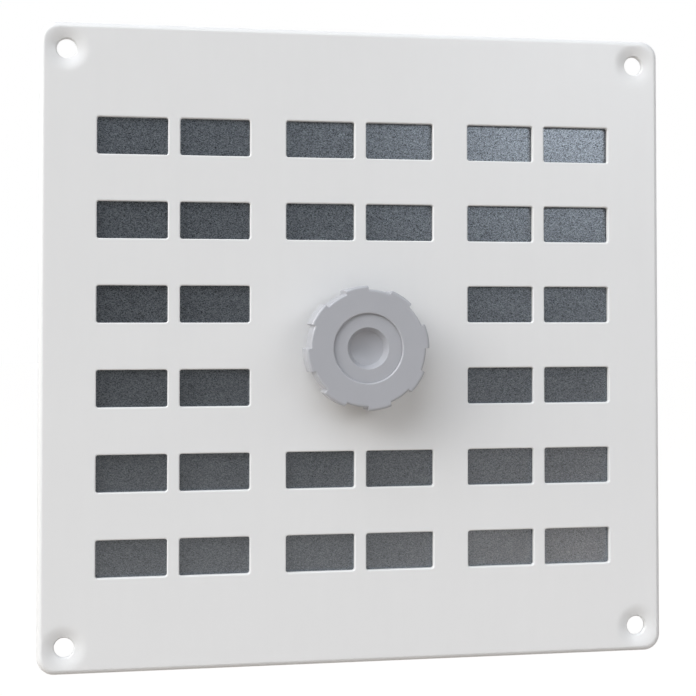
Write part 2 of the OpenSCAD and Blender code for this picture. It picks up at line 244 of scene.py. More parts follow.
class Finish:
    """A material with one Principled surface, and the patterns that its finish is made of."""

    def __init__(self, name):
        self.material = bpy.data.materials.new(name)
        self.material.use_nodes = True
        self.tree = self.material.node_tree
        self.tree.nodes.clear()
        self.start = Socket(self.tree)
        self.place = self.start.node("ShaderNodeTexCoord", output="Object")

    def stretched(self, x, y, z):
        """Object coordinates, squeezed or stretched along each axis."""
        return self.start.node(
            "ShaderNodeVectorMath", {"operation": "MULTIPLY"}, {0: self.place, 1: (x, y, z)}
        )

    def noise(self, size, detail=2.0, roughness=0.5, place=None, seed=0.0):
        """Noise from 0 to 1 around 0.5, whose spots have about the size given, in metres."""
        values = {"Vector": place or self.place, "Scale": 1 / size, "Detail": detail,
                  "Roughness": roughness, "W": seed}
        return self.start.node("ShaderNodeTexNoise", {"noise_dimensions": "4D"}, values)

    def cells(self, size, place=None):
        """The colour of each cell of a pattern of crystals, as a number from 0 to 1."""
        values = {"Vector": place or self.place, "Scale": 1 / size}
        picked = self.start.node("ShaderNodeTexVoronoi", {"feature": "F1"}, values, "Color")
        return self.start.node("ShaderNodeSeparateColor", None, {"Color": picked})

    def tinted(self, colour, level):
        """A colour made lighter or darker by a number around 1."""
        grey = self.start.node("ShaderNodeCombineColor", None, {0: level, 1: level, 2: level})
        values = {"Factor": 1.0, "A": (*colour, 1), "B": grey}
        settings = {"data_type": "RGBA", "blend_type": "MULTIPLY"}
        made = self.tree.nodes.new("ShaderNodeMix")
        for key, value in settings.items():
            setattr(made, key, value)
        made.inputs[0].default_value = values["Factor"]
        made.inputs[6].default_value = values["A"]
        self.tree.links.new(grey.socket, made.inputs[7])
        return Socket(self.tree, made.outputs[2])

    def bump(self, height, depth, normal=None):
        """Normals of a surface that rises by height times depth, in metres."""
        values = {"Height": height, "Distance": depth, "Strength": 1.0}
        if normal:
            values["Normal"] = normal
        return self.start.node("ShaderNodeBump", None, values)

    def surface(self, colour, roughness, **others):
        """Ends the tree with a Principled surface."""
        values = {"Base Color": colour if isinstance(colour, Socket) else (*colour, 1), "Roughness": roughness}
        values.update({key.replace("_", " "): value for key, value in others.items()})
        shaded = self.start.node("ShaderNodeBsdfPrincipled", None, values)
        self.start.node("ShaderNodeOutputMaterial", None, {"Surface": shaded})
        return self.material


def powder_coat(colour):
    """White powder coat: satin, with a fine orange peel, and faint upright streaks."""
    paint = Finish("powder_coat")
    streaks = paint.noise(2.4 * MM, place=paint.stretched(1, 1, 0.12))
    clouds = paint.noise(14 * MM, detail=3, seed=3)
    specks = paint.noise(0.35 * MM, detail=1, seed=7).step(0.70, 0.80)
    level = 1.0 + (streaks - 0.5) * 0.020 + (clouds - 0.5) * 0.016 - specks * 0.035
    peel = paint.noise(0.9 * MM, detail=2, seed=5)
    grain = paint.noise(0.16 * MM, detail=1, seed=9)
    normal = paint.bump(peel * 0.8 + grain * 0.2, 0.006 * MM)
    return paint.surface(
        paint.tinted(colour, level), 0.30 + (clouds - 0.5) * 0.10, Normal=normal, IOR=1.5
    )


def zinc_sheet(colour):
    """Cold rolled sheet with a matt zinc coat: fine grain over soft clouds, with the grain's contrast painted stronger
    higher up the sheet as a painted glint of light from above.
    """
    zinc = Finish("zinc_sheet")
    rolled = zinc.stretched(0.75, 1, 1.1)
    grain = zinc.noise(0.18 * MM, detail=1, roughness=0.7, place=rolled, seed=1)
    fleck = zinc.cells(0.17 * MM, rolled)
    clouds = zinc.noise(9 * MM, detail=3, seed=4)
    # Painted glint: the grain's colour contrast grows towards the top of the sheet, standing in for light from above
    # catching the grain
    high = zinc.start.node("ShaderNodeSeparateXYZ", None, {0: zinc.place}, "Z").step(-60 * MM, 40 * MM)
    grain_and_painted_glint = ((grain - 0.5) * 2.0 + (fleck - 0.5) * 0.6) * (0.8 + high * 0.7)
    level = 0.93 + grain_and_painted_glint + (clouds - 0.5) * 0.2
    height = zinc.noise(0.30 * MM, detail=2, seed=6) + fleck * 0.4
    return zinc.surface(
        zinc.tinted(colour, level), 0.285 + (grain - 0.5) * 0.02,
        Metallic=0.88, Normal=zinc.bump(height, 0.005 * MM),
    )


def bright_zinc(colour):
    """Zinc plate on strip and hardware: brighter, with drawn lines and soft stains."""
    zinc = Finish("bright_zinc")
    lines = zinc.noise(0.22 * MM, detail=2, place=zinc.stretched(1, 1, 0.05), seed=2)
    stains = zinc.noise(4.5 * MM, detail=4, roughness=0.6, seed=8)
    level = 1.0 + (lines - 0.5) * 0.22 + (stains - 0.5) * 0.20
    return zinc.surface(
        zinc.tinted(colour, level), 0.30 + (stains - 0.5) * 0.18,
        Metallic=1.0, Normal=zinc.bump(lines, 0.006 * MM),
    )


def grey_plastic(colour):
    """Satin moulded plastic: a spark eroded texture and faint flow clouds."""
    plastic = Finish("grey_plastic")
    texture = plastic.noise(0.11 * MM, detail=1, seed=1)
    clouds = plastic.noise(5.5 * MM, detail=2, seed=6)
    level = 1.0 + (clouds - 0.5) * 0.05 + (texture - 0.5) * 0.03
    return plastic.surface(
        plastic.tinted(colour, level), 0.32 + (clouds - 0.5) * 0.08,
        Normal=plastic.bump(texture, 0.004 * MM), IOR=1.53,
    )


def natural_nylon(colour):
    """Moulded nylon, a little waxy."""
    nylon = Finish("natural_nylon")
    clouds = nylon.noise(2.2 * MM, detail=3, seed=2)
    level = 1.0 + (clouds - 0.5) * 0.06
    return nylon.surface(
        nylon.tinted(colour, level), 0.40 + (clouds - 0.5) * 0.15,
        Normal=nylon.bump(clouds, 0.010 * MM), IOR=1.53,
    )


def turned_brass(colour):
    """Brass with the fine rings of the lathe."""
    brass = Finish("turned_brass")
    rings = brass.noise(0.14 * MM, detail=1, place=brass.stretched(0.1, 1, 0.1), seed=5)
    level = 1.0 + (rings - 0.5) * 0.16
    return brass.surface(
        brass.tinted(colour, level), 0.28 + (rings - 0.5) * 0.12,
        Metallic=1.0, Normal=brass.bump(rings, 0.006 * MM),
    )


def on_face(x, z, height):
    """A point over the face, from its place on the wall and its height in front of the face."""
    return Vector((x, FACE_FRONT - height, z))


def arc(centre, radius, start, end, steps):
    """Points of an arc in a plane, angles in degrees, both ends included."""
    turns = [math.radians(start + (end - start) * i / steps) for i in range(steps + 1)]
    return [(centre[0] + radius * math.cos(a), centre[1] + radius * math.sin(a)) for a in turns]


def rounded_outline(width, height, radius, steps=6, centre=(0, 0)):
    """Points round a rectangle with round corners."""
    points = []
    for quarter, (sx, sz) in enumerate(((1, 1), (-1, 1), (-1, -1), (1, -1))):
        corner = (centre[0] + sx * (width / 2 - radius), centre[1] + sz * (height / 2 - radius))
        points += arc(corner, radius, 90 * quarter, 90 * quarter + 90, steps)
    return points


def solid(name, rings, looped=False):
    """A closed mesh through rings of points, capped at both ends unless it is looped."""
    form = bmesh.new()
    rows = [[form.verts.new(point) for point in ring] for ring in rings]
    for row, after in zip(rows, rows[1:] + rows[:1]) if looped else zip(rows, rows[1:]):
        for i in range(len(row)):
            j = (i + 1) % len(row)
            form.faces.new((row[i], row[j], after[j], after[i]))
    if not looped:
        form.faces.new(rows[0])
        form.faces.new(rows[-1][::-1])
    bmesh.ops.recalc_face_normals(form, faces=form.faces)
    mesh = bpy.data.meshes.new(name)
    form.to_mesh(mesh)
    form.free()
    return mesh


def joined(name, meshes):
    """One mesh of several separate closed forms."""
    form = bmesh.new()
    for mesh in meshes:
        form.from_mesh(mesh)
        bpy.data.meshes.remove(mesh)
    mesh = bpy.data.meshes.new(name)
    form.to_mesh(mesh)
    form.free()
    return mesh


def placed(name, mesh):
    """An object at the origin for a mesh that already lies in its place."""
    made = bpy.data.objects.new(name, mesh)
    bpy.context.scene.collection.objects.link(made)
    return made


def shade(mesh, sharp_angle=38):
    """Smooth shading, broken at sharp edges, with flat faces kept truly flat."""
    mesh.shade_smooth()
    mesh.set_sharp_from_angle(angle=math.radians(sharp_angle))
    flat = 0.99999
    for face in mesh.polygons:
        if max(abs(part) for part in face.normal) > flat:
            face.use_smooth = False


def finished(name, mesh, material, body, slot, *nodes):
    """Makes a piece of the object from a mesh, on its body and in place of its nodes."""
    shade(mesh)
    mesh.materials.clear()
    mesh.materials.append(material)
    made = placed(name, mesh)
    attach(made, body)
    if nodes:
        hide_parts(*nodes)
    return made


def filleted(corners, steps=5):
    """A section through corners of (radius, height, rounding), with each rounded corner an arc."""
    points = []
    count = len(corners)
    for i, (x, y, rounding) in enumerate(corners):
        here = Vector((x, y))
        if rounding <= 0:
            points.append(here)
            continue
        before = (Vector(corners[i - 1][:2]) - here).normalized()
        after = (Vector(corners[(i + 1) % count][:2]) - here).normalized()
        half = before.angle(after) / 2
        reach = rounding / math.tan(half)
        centre = here + (before + after).normalized() * rounding / math.sin(half)
        start = here + before * reach
        end = here + after * reach
        support = min(0.12 * MM, 0.5 * reach)
        points.append(start + before * support)
        turn_start, turn_end = start - centre, end - centre
        turn = turn_start.angle_signed(turn_end)
        for k in range(steps + 1):
            points.append(centre + Matrix.Rotation(-turn * k / steps, 2) @ turn_start)
        points.append(end + after * support)
    return points


def lathe(section, turns, looped=True, outer=None):
    """Rings of a form turned about the knob's axis. turns holds an angle and a share for each
    point of a ring, and a point lies between section, at share 0, and outer, at share 1."""
    rings = []
    for inner_point, outer_point in zip(section, outer or section):
        ring = []
        for angle, share in turns:
            point = inner_point.lerp(outer_point, share)
            x = point.x * math.cos(angle)
            z = point.x * math.sin(angle)
            ring.append(on_face(x, KNOB_AXIS_Z + z, point.y))
        rings.append(ring)
    return rings


def full_turn(count):
    """Evenly spaced angles round a turned form."""
    return [(2 * math.pi * i / count, 0.0) for i in range(count)]


def lobed_turn(lobes, radius, recess, fillet, rounding, steps=4):
    """Angles round the grip, each with its share of the lobe: 0 in a recess and 1 on a lobe."""
    foot = [(x - fillet, fillet + y) for x, y in arc((0, 0), fillet, -90, 0, steps)]
    brow = [(rounding + x, recess - rounding + y) for x, y in arc((0, 0), rounding, 180, 90, steps)]
    rise = [(x / radius, y / recess) for x, y in foot + brow]
    between = 10
    half = math.pi / lobes
    turns = []
    for i in range(lobes):
        start = 2 * half * i
        end = start + half
        up = [(start + x, share) for x, share in rise]
        down = [(end - x, share) for x, share in rise[::-1]]
        turns += up
        turns += [(up[-1][0] + (down[0][0] - up[-1][0]) * k / between, 1.0) for k in range(1, between)]
        turns += down
        next_up = start + 2 * half + rise[0][0]
        turns += [(down[-1][0] + (next_up - down[-1][0]) * k / between, 0.0) for k in range(1, between)]
    return turns


def set_inputs(modifier, values):
    """Sets a Geometry Nodes modifier's inputs, found by name and set by identifier."""
    for item in modifier.node_group.interface.items_tree:
        if item.item_type == "SOCKET" and item.in_out == "INPUT" and item.name in values:
            modifier[item.identifier] = values[item.name]


def punched_sheet_tree(name, with_bosses):
    """A tree that punches a field of slots, and other cuts, through a closed sheet."""
    tree = bpy.data.node_groups.new(name, "GeometryNodeTree")
    sockets = [("Sheet", "Geometry"), ("Bosses", "Object"), ("Punch", "Object"), ("Cuts", "Object"),
               ("Rows", "Int"), ("Groups", "Int"), ("Row Pitch", "Float"), ("Group Pitch", "Float"),
               ("Pair Pitch", "Float"), ("Drop", "Float"), ("Material", "Material")]
    for label, kind in sockets:
        tree.interface.new_socket(label, in_out="INPUT", socket_type="NodeSocket" + kind)
    tree.interface.new_socket("Sheet", in_out="OUTPUT", socket_type="NodeSocketGeometry")
    start = Socket(tree)
    entry = tree.nodes.new("NodeGroupInput")
    given = {label: Socket(tree, entry.outputs[label]) for label, _ in sockets}

    def solid_of(label):
        return start.node("GeometryNodeObjectInfo", None, {"Object": given[label]}, "Geometry")

    # Two slots for each group of each row, counted from the lower left
    index = start.node("GeometryNodeInputIndex")
    side = index % 2
    group = (index / 2).floor() % given["Groups"]
    row = (index / (given["Groups"] * 2)).floor()
    x = (group - (given["Groups"] - 1) / 2) * given["Group Pitch"] + (side - 0.5) * given["Pair Pitch"]
    z = (row - (given["Rows"] - 1) / 2) * given["Row Pitch"]
    place = start.node("ShaderNodeCombineXYZ", None, {"X": x, "Z": z - given["Drop"]})
    field = start.node(
        "GeometryNodePoints", None, {"Count": given["Rows"] * given["Groups"] * 2, "Position": place}
    )
    # The middle group's two middle rows make room for the knob
    spot = start.node("ShaderNodeSeparateXYZ", None, {0: start.node("GeometryNodeInputPosition")}, "X")
    up = Socket(tree, spot.socket.node.outputs["Z"]) + given["Drop"]
    under_knob = (spot.absolute() < given["Group Pitch"] / 2) * (up.absolute() < given["Row Pitch"])
    field = start.node(
        "GeometryNodeDeleteGeometry", {"domain": "POINT"}, {"Geometry": field, "Selection": under_knob}
    )
    punches = start.node("GeometryNodeInstanceOnPoints", None, {"Points": field, "Instance": solid_of("Punch")})
    punches = start.node("GeometryNodeRealizeInstances", None, {"Geometry": punches})
    sheet = given["Sheet"]
    if with_bosses:
        sheet = start.node(
            "GeometryNodeMeshBoolean", {"operation": "UNION", "solver": "MANIFOLD"},
            {"Mesh 2": [sheet, solid_of("Bosses")]},
        )
    sheet = start.node(
        "GeometryNodeMeshBoolean", {"operation": "DIFFERENCE", "solver": "MANIFOLD"},
        {"Mesh 1": sheet, "Mesh 2": [punches, solid_of("Cuts")]},
    )
    sheet = start.node("GeometryNodeRealizeInstances", None, {"Geometry": sheet})
    sheet = start.node("GeometryNodeSetMaterial", None, {"Geometry": sheet, "Material": given["Material"]})
    start.node("NodeGroupOutput", None, {0: sheet})
    return tree


def plain_mesh(made):
    """The mesh that an object's modifiers give, with the object itself removed."""
    depsgraph = bpy.context.evaluated_depsgraph_get()
    mesh = bpy.data.meshes.new_from_object(made.evaluated_get(depsgraph), depsgraph=depsgraph)
    bpy.data.objects.remove(made)
    return mesh


def punched(name, sheet, punch, cuts, sizes, drop, material, bosses=None):
    """The plain mesh of a sheet with its field of slots, made by the tree."""
    made = placed(name, sheet)
    helpers = [placed(name + "_" + label, mesh) for label, mesh in
               (("punch", punch), ("cuts", cuts), ("bosses", bosses)) if mesh]
    modifier = made.modifiers.new("Punched sheet", "NODES")
    modifier.node_group = punched_sheet_tree(name + "_tree", bosses is not None)
    values = {
        "Punch": helpers[0], "Cuts": helpers[1], "Rows": sizes.rows, "Groups": sizes.groups,
        "Row Pitch": sizes.row_pitch, "Group Pitch": sizes.group_pitch, "Pair Pitch": sizes.pair_pitch,
        "Drop": drop, "Material": material,
    }
    if bosses:
        values["Bosses"] = helpers[2]
    set_inputs(modifier, values)
    mesh = plain_mesh(made)
    for helper in helpers:
        bpy.data.objects.remove(helper)
    if not mesh.polygons:
        raise RuntimeError(f"{name}: the punched sheet came out empty")
    return mesh


def punch_form(name, outline, front, back, front_round, back_round, roll=None, steps=5):
    """A punch between two heights that rounds the edges of the hole it cuts. outline takes an
    offset and gives the hole's points. The rounding in front may be wider than it is deep."""
    clear = 0.6 * MM
    roll = roll or front_round
    mouth = [(roll * (1 - math.cos(math.radians(a))), front - front_round * (1 - math.sin(math.radians(a))))
             for a in [90 - 90 * i / steps for i in range(steps + 1)]]
    tail = [(back_round * (1 - math.cos(math.radians(a))), back + back_round * (1 - math.sin(math.radians(a))))
            for a in [90 * i / steps for i in range(steps + 1)]]
    section = [(roll, front + clear), *mouth, *tail, (back_round, back - clear)]
    rings = [[on_face(x, z, height) for x, z in outline(offset)] for offset, height in section]
    return solid(name, rings)


def slot_outline(width, height, radius, centre=(0, 0), steps=6):
    """The outline of a slot, as a function of an offset."""
    return lambda offset: rounded_outline(
        width + 2 * offset, height + 2 * offset, radius + offset, steps, centre
    )


def tray_rings(sizes):
    """Rings round the folded tray, from the front of its face over the rolled edge to the back."""
    roll, front, sheet = sizes.edge_r, sizes.front_r, sizes.sheet_t
    depth = FACE_HIGH.y - FACE_LOW.y
    rim = 0.3 * MM
    section = [(-x, y) for x, y in arc((front, front), front, 270, 180, 14)]
    section += [(-x, y) for x, y in arc((rim, depth - rim), rim, 180, 90, 4)]
    section += [(-x, y) for x, y in arc((sheet - rim, depth - rim), rim, 90, 0, 4)]
    section += [(-x, y) for x, y in arc((roll, roll), roll - sheet, 180, 270, 8)]
    width = FACE_HIGH.x - FACE_LOW.x
    outline = slot_outline(width, width, sizes.corner_r, steps=16)
    return [[on_face(x, z, -deep) for x, z in outline(offset)] for offset, deep in section]


def dimple_height(sizes, radius):
    """Height of the dimple's front at a radius: a soft shoulder, then a cone to the hole."""
    if radius >= sizes.cone_r:
        share = (radius - sizes.cone_r) / (sizes.dimple_r - sizes.cone_r)
        return -sizes.shoulder * sizes.dimple_depth * (1 - math.sin(math.pi / 2 * share))
    share = (sizes.cone_r - radius) / (sizes.cone_r - sizes.hole_d / 2)
    return -sizes.dimple_depth * (sizes.shoulder + (1 - sizes.shoulder) * share)


def circle_rings(section, centre, count=48):
    """Rings round a screw hole, from a section of (radius, height)."""
    turns = [2 * math.pi * i / count for i in range(count)]
    return [
        [on_face(centre[0] + radius * math.cos(a), centre[1] + radius * math.sin(a), height) for a in turns]
        for radius, height in section
    ]


def dimple_radii(sizes, steps=10):
    """Radii along the dimple, from its mouth down to the end of its cone."""
    span = sizes.dimple_r - sizes.cone_r
    return [sizes.dimple_r - span * i / steps for i in range(steps + 1)]


def dimple_cut(sizes, centre):
    """The space of a dimple and its hole, as a closed form that is cut from the face."""
    hole = sizes.hole_d / 2
    lip = 0.25 * MM
    seat = dimple_height(sizes, hole + lip)
    back = -sizes.dimple_depth - sizes.sheet_t
    section = [(sizes.dimple_r, 1 * MM)]
    section += [(r, dimple_height(sizes, r)) for r in dimple_radii(sizes)]
    section += [(hole + lip, seat), (hole + 0.08 * MM, seat - 0.10 * MM), (hole, seat - lip)]
    flare = 0.35 * MM
    section += [(hole, back + 1.0 * MM), (hole + flare, back), (hole + flare, back - 1 * MM)]
    return solid("dimple_cut", circle_rings(section, centre))


def dimple_boss(sizes, centre):
    """The back of a dimple, which stands out behind the sheet."""
    sheet = sizes.sheet_t
    section = [(sizes.dimple_r, -sheet + 0.2 * MM)]
    section += [(r, dimple_height(sizes, r) - sheet) for r in dimple_radii(sizes)]
    section += [(sizes.hole_d / 2, -sizes.dimple_depth - sheet)]
    return solid("dimple_boss", circle_rings(section, centre))


def relief_cut(sizes, quarter):
    """The diagonal cut that parts two folded sides at a corner."""
    half = (FACE_HIGH.x - FACE_LOW.x) / 2
    near = (half - sizes.corner_r) * math.sqrt(2) + sizes.corner_r - sizes.edge_r
    long = 2 * sizes.corner_r
    outline = rounded_outline(long, sizes.relief_w, 0.2 * MM, 3, (near + long / 2, 0))
    turn = Matrix.Rotation(math.radians(45 + 90 * quarter), 2)
    flat = [turn @ Vector(point) for point in outline]
    depths = (-sizes.relief_top, -(FACE_HIGH.y - FACE_LOW.y) - 1 * MM)
    return solid("relief_cut", [[on_face(p.x, p.y, deep) for p in flat] for deep in depths])


def face_sheet(sizes, material):
    """The pressed and folded face, with every edge as soft as powder coat leaves it."""
    holes = [(x * sizes.hole_spacing / 2, z * sizes.hole_spacing / 2) for x in (-1, 1) for z in (-1, 1)]
    travel = sizes.row_pitch / 2
    back = -sizes.sheet_t
    guide = slot_outline(
        sizes.guide_w, sizes.guide_w + travel, sizes.guide_w / 2 - 0.01 * MM,
        (0, KNOB_AXIS_Z + travel / 2), 12,
    )
    edges = (sizes.slot_round, sizes.burr_round, sizes.slot_roll, 8)
    cuts = [punch_form("guide", guide, 0, back, *edges)]
    cuts += [dimple_cut(sizes, hole) for hole in holes]
    cuts += [relief_cut(sizes, quarter) for quarter in range(4)]
    bosses = [dimple_boss(sizes, hole) for hole in holes]
    slot = slot_outline(sizes.slot_w, sizes.slot_h, sizes.slot_r)
    return punched(
        "face_sheet", solid("tray", tray_rings(sizes)),
        punch_form("slot", slot, 0, back, *edges),
        joined("face_cuts", cuts), sizes, 0, material, joined("face_bosses", bosses),
    )


def shutter_sheet(sizes, material):
    """The flat shutter, with slots a little larger than the face's, and the square for the stud."""
    front = FACE_FRONT - SHUTTER_LOW.y
    back = FACE_FRONT - SHUTTER_HIGH.y
    rounding = 0.12 * MM
    outline = slot_outline(
        SHUTTER_HIGH.x - SHUTTER_LOW.x, SHUTTER_HIGH.z - SHUTTER_LOW.z, sizes.shutter_corner,
        (0, (SHUTTER_LOW.z + SHUTTER_HIGH.z) / 2), 10,
    )
    edge = [(x - rounding, front - rounding + y) for x, y in arc((0, 0), rounding, 90, 0, 3)]
    edge += [(x - rounding, back + rounding + y) for x, y in arc((0, 0), rounding, 0, -90, 3)]
    plate = solid("plate", [[on_face(x, z, h) for x, z in outline(offset)] for offset, h in edge])
    slot = slot_outline(sizes.slot_w + sizes.oversize, sizes.slot_h + sizes.oversize, sizes.slot_r)
    square = slot_outline(5.2 * MM, 5.2 * MM, 0.3 * MM, (0, KNOB_AXIS_Z))
    return punched(
        "shutter_sheet", plate, punch_form("slot", slot, front, back, rounding, rounding, steps=3),
        punch_form("square", square, front, back, rounding, rounding, steps=3), sizes, sizes.row_pitch / 2, material,
    )


def grip_mesh(sizes):
    """The lobed grip, with its pocket, bores and hub, as one closed form."""
    def heights(low, high):
        return FACE_FRONT - high.y, FACE_FRONT - low.y
    base, front = heights(GRIP_LOW, GRIP_HIGH)
    insert_back, insert_front = heights(INSERT_LOW, INSERT_HIGH)
    cap_front = FACE_FRONT - CAP_LOW.y
    washer_r = (WASHER_HIGH.x - WASHER_LOW.x) / 2 + 0.1 * MM
    washer_seat = FACE_FRONT - WASHER_LOW.y + 0.05 * MM
    insert_r = (INSERT_HIGH.x - INSERT_LOW.x) / 2
    outer_r = (GRIP_HIGH.x - GRIP_LOW.x) / 2
    cup_r = sizes.dish_mouth_r + 0.50 * MM
    cavity_r = 6.2 * MM

    def section(radius, front_round):
        return filleted([
            (radius, front, front_round),
            (sizes.pocket_r, front, sizes.pocket_round),
            (sizes.pocket_r, cap_front - sizes.cap_t, 0),
            (cup_r, cap_front - sizes.cap_t, 0),
            (cup_r, insert_front, 0),
            (insert_r, insert_front, 0),
            (insert_r, insert_back, 0),
            (cavity_r, insert_back, 0),
            (cavity_r, washer_seat, 0),
            (washer_r, washer_seat, 0),
            (washer_r, base, 0.15 * MM),
            (sizes.hub_d / 2, base, 0.3 * MM),
            (sizes.hub_d / 2, sizes.grip_back, 0.25 * MM),
            (radius, sizes.grip_back, sizes.back_round),
        ])

    turns = lobed_turn(sizes.lobes, outer_r, sizes.recess, 0.15 * MM, 0.22 * MM)
    recessed = section(outer_r - sizes.recess, sizes.recess_round)
    lobed = section(outer_r, sizes.lobe_round)
    return solid("grip", lathe(recessed, turns, outer=lobed), looped=True)


def cap_mesh(sizes):
    """The cap, with a dimple whose floor is a shallow bowl."""
    front = FACE_FRONT - CAP_LOW.y
    back = FACE_FRONT - CAP_HIGH.y
    radius = sizes.pocket_r - 0.01 * MM
    cup_r = sizes.dish_mouth_r + 0.45 * MM
    floor = front - sizes.dish_depth
    bowl_steps = 8
    bowl = []
    for i in range(1, bowl_steps):
        share = i / bowl_steps
        bowl.append(Vector((sizes.dish_floor_r * share, floor - sizes.dish_sag * (1 - share ** 2))))
    rest = filleted([
        (sizes.dish_floor_r * (bowl_steps - 1) / bowl_steps, floor - sizes.dish_sag * 0.23, 0),
        (sizes.dish_floor_r, floor, 0.12 * MM),
        (sizes.dish_mouth_r, front, 0.15 * MM),
        (radius, front, 0.04 * MM),
        (radius, front - sizes.cap_t, 0.1 * MM),
        (cup_r, front - sizes.cap_t, 0),
        (cup_r, back, 0.2 * MM),
        (0.4 * MM, back, 0),
    ])
    return solid("cap", lathe(bowl + rest[1:], full_turn(128)))


def bolt_mesh(sizes):
    """The stud: domed head, square neck, and a shank whose thread follows a helix."""
    parts = []
    head_back = FACE_FRONT - STUD_HIGH.y
    tip = FACE_FRONT - STUD_LOW.y
    head_r = (STUD_HIGH.x - STUD_LOW.x) / 2
    head_h = 2.8 * MM
    major = 2.5 * MM
    neck = 5.2 * MM
    neck_front = FACE_FRONT - SHUTTER_LOW.y
    head_front = head_back + head_h
    dome_r = (head_r ** 2 + head_h ** 2) / (2 * head_h)
    rise = math.degrees(math.asin(head_r / dome_r))
    dome = [Vector((x, head_front - head_h + dome_r - y)) for x, y in
            [(dome_r * math.sin(math.radians(rise * i / 12)), dome_r * math.cos(math.radians(rise * i / 12)))
             for i in range(1, 13)]]
    parts.append(solid("head", lathe(dome + [Vector((head_r, head_front))], full_turn(64))))
    square = slot_outline(neck, neck, 0.3 * MM, (0, KNOB_AXIS_Z))(0)
    parts.append(solid("neck", [[on_face(x, z, h) for x, z in square] for h in (head_front, neck_front)]))
    rings = []
    ring_step = sizes.thread_pitch / 10
    count = round((tip - neck_front) / ring_step)
    around = 48
    for k in range(count + 1):
        height = neck_front + (tip - neck_front) * k / count
        lead = min(1.0, (tip - height) / (0.6 * MM))
        ring = []
        for i in range(around):
            angle = 2 * math.pi * i / around
            phase = (height / sizes.thread_pitch - i / around) % 1
            groove = sizes.thread_depth * (1 - abs(2 * phase - 1) * 1.15)
            radius = min(major - max(0.0, groove), major - 0.5 * MM * (1 - lead))
            ring.append(on_face(radius * math.cos(angle), KNOB_AXIS_Z + radius * math.sin(angle), height))
        rings.append(ring)
    parts.append(solid("shank", rings))
    return joined("clamp_bolt", parts)


class GRILLE_OT_face(bpy.types.Operator):
    """Makes the powder coated face, with its slots, dimples and rolled edge."""

    bl_idname = "grille.face"
    bl_label = "Face"

    def execute(self, context):
        scene = context.scene
        coat = powder_coat(scene.grille_finishes.coat)
        mesh = face_sheet(scene.grille_sheets, coat)
        finished("face_sheet", mesh, coat, "face", "white_coat", "face_plate")
        return {"FINISHED"}


class GRILLE_OT_shutter(bpy.types.Operator):
    """Makes the sliding shutter, a flat zinc coated sheet."""

    bl_idname = "grille.shutter"
    bl_label = "Shutter"

    def execute(self, context):
        scene = context.scene
        zinc = zinc_sheet(scene.grille_finishes.sheet)
        mesh = shutter_sheet(scene.grille_sheets, zinc)
        finished("shutter_sheet", mesh, zinc, "shutter", "zinc_sheet", "shutter_plate")
        return {"FINISHED"}


class GRILLE_OT_hardware(bpy.types.Operator):
    """Finishes the rails, the stud with its plate and nut, the bush and the washer."""

    bl_idname = "grille.hardware"
    bl_label = "Rails and hardware"

    def execute(self, context):
        scene = context.scene
        plated = bright_zinc(scene.grille_finishes.plated)
        nylon = natural_nylon(scene.grille_finishes.nylon)
        brass = turned_brass(scene.grille_finishes.brass)
        finished("clamp_bolt", bolt_mesh(scene.grille_knob), plated, "shutter", "bright_zinc", "clamp_stud")
        kept = {
            "left_guide_rail": plated, "right_guide_rail": plated, "stud_plate": plated,
            "stud_nut": plated, "slider_bush": nylon, "clamp_washer": nylon, "knob_insert": brass,
        }
        for node, material in kept.items():
            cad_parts[node].data.materials[0] = material
        return {"FINISHED"}


class GRILLE_OT_knob(bpy.types.Operator):
    """Makes the lobed grip and its dished cap."""

    bl_idname = "grille.knob"
    bl_label = "Knob"

    def execute(self, context):
        scene = context.scene
        plastic = grey_plastic(scene.grille_finishes.plastic)
        finished("grip", grip_mesh(scene.grille_knob), plastic, "knob", "grey_plastic", "knob_grip")
        finished("cap", cap_mesh(scene.grille_knob), plastic, "knob", "grey_plastic", "knob_cap")
        return {"FINISHED"}


def soft_light(name, azimuth, elevation, half_width, half_height, level, tint=(1, 1, 1), distance=1.4):
    """A soft light that faces the grille, from a direction in degrees: azimuth to the right of
    straight ahead, elevation over the horizon. Its halves are angles from its middle."""
    turn, rise = math.radians(azimuth), math.radians(elevation)
    towards = Vector((math.sin(turn) * math.cos(rise), -math.cos(turn) * math.cos(rise), math.sin(rise)))
    data = bpy.data.lights.new(name, "AREA")
    data.shape = "RECTANGLE"
    data.size = 2 * distance * math.tan(math.radians(half_width))
    data.size_y = 2 * distance * math.tan(math.radians(half_height))
    data.energy = math.pi * data.size * data.size_y * level
    data.color = tint
    lamp = bpy.data.objects.new(name, data)
    lamp.location = towards * distance
    lamp.rotation_euler = towards.to_track_quat("Z", "Y").to_euler()
    bpy.context.scene.collection.objects.link(lamp)
    return lamp


